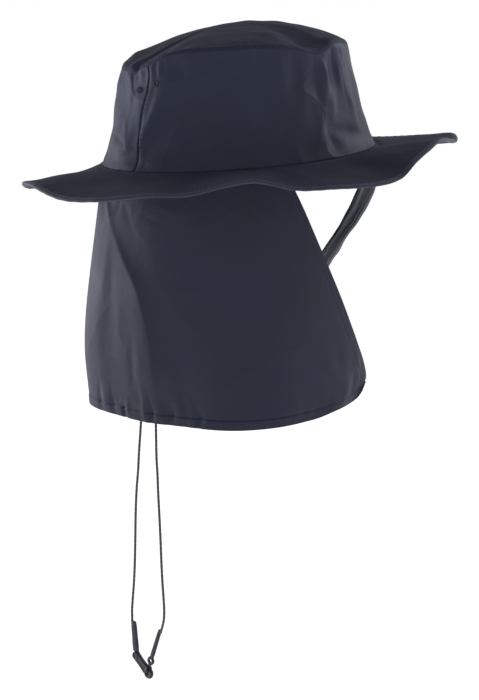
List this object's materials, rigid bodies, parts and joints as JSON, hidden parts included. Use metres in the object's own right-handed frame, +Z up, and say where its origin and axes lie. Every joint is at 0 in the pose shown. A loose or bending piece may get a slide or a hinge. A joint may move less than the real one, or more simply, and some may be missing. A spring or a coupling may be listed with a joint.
{
  "type": "beach hat",
  "caption": "Soft brimmed sun hat with a domed crown, a hanging neck cape, a chin strap and a cord leash that ends in a small clip.",
  "frame": {"origin": "centre of the oval where the crown meets the brim, which is where the hat sits on a head", "axes": "+X to the front of the hat, +Y to the wearer's left, +Z up as worn"},
  "size_m": [0.3159, 0.2827, 0.4444],
  "materials": {
    "shell_cloth": "thin plain-woven synthetic cloth, charcoal navy, slightly glossy, soft wrinkles",
    "binding_cloth": "narrow turned and stitched edge of the same cloth",
    "strap_cloth": "flat band of the same cloth, folded lengthwise",
    "eyelet_thread": "tonal embroidery thread",
    "leash_cord": "thin braided polyester cord, dark grey",
    "clip_plastic": "moulded black plastic"
  },
  "bodies": {
    "root": {"crown_wall": "shell_cloth", "crown_tip": "shell_cloth", "brim": "shell_cloth", "brim_binding": "binding_cloth", "neck_cape": "shell_cloth", "chin_strap": "strap_cloth", "eyelet_left": "eyelet_thread", "eyelet_right": "eyelet_thread", "cord_left": "leash_cord", "cord_right": "leash_cord", "cord_sleeve_left": "leash_cord", "cord_end_right": "leash_cord", "clip_hook": "clip_plastic", "clip_eye": "clip_plastic"}
  },
  "joints": []
}
